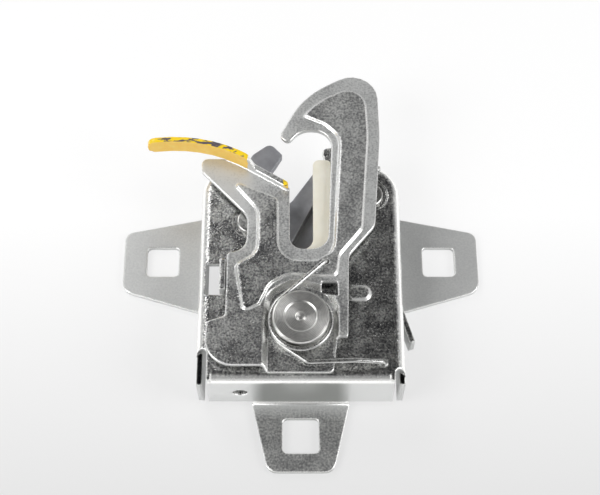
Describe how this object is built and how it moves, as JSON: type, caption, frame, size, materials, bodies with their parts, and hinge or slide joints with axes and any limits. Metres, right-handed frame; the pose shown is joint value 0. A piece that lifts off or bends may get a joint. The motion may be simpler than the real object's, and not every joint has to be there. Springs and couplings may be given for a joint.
{
  "type": "bonnet latch",
  "caption": "Bonnet latch: folded pan housing on square-holed ears, sprung safety hook with a painted handle, and a rotary claw held by a pawl behind the slotted face.",
  "frame": {"origin": "midway between the holes of the two side ears, on the mounting plane of the ears' back faces", "axes": "+X to the right seen from the front, +Y up towards the safety hook, +Z out of the face to the front"},
  "size_m": [0.1284, 0.1414, 0.0344],
  "materials": {
    "zinc_sheet": "zinc-coated sheet, mottled",
    "turned_steel": "turned and zinc-plated",
    "spring_wire": "drawn wire",
    "dark_steel": "dark phosphate coat",
    "nylon": "moulded, off-white"
  },
  "bodies": {
    "pan": {"housing": "zinc_sheet", "pivot_rivet": "turned_steel", "claw_rivet": "turned_steel", "pawl_rivet": "turned_steel", "claw_washer": "turned_steel", "pawl_spacer": "turned_steel", "striker_guide": "nylon", "safety_spring": "spring_wire", "claw_spring": "spring_wire", "pawl_spring": "spring_wire"},
    "hook": {"safety_hook": "zinc_sheet"},
    "claw": {"claw": "dark_steel"},
    "pawl": {"pawl": "dark_steel"}
  },
  "joints": [
    {"name": "hook_turn", "type": "hinge", "parent": "pan", "child": "hook", "pos_m": [0, -0.034, 0.0253], "axis": [0, 0, 1], "range_deg": [-20, 0], "stiffness_Nm_per_rad": 0.35, "springref_deg": 22.92, "deforming": ["safety_spring"]},
    {"name": "claw_turn", "type": "hinge", "parent": "pan", "child": "claw", "pos_m": [-0.0178, 0.006, 0.0156], "axis": [0, 0, 1], "range_deg": [-50, 0], "stiffness_Nm_per_rad": 0.15, "springref_deg": 28.65, "deforming": ["claw_spring"]},
    {"name": "pawl_turn", "type": "hinge", "parent": "pan", "child": "pawl", "pos_m": [0.0245, 0.0163, 0.014], "axis": [0, 0, 1], "range_deg": [0, 16], "stiffness_Nm_per_rad": 0.1, "springref_deg": -22.92, "deforming": ["pawl_spring"]}
  ]
}
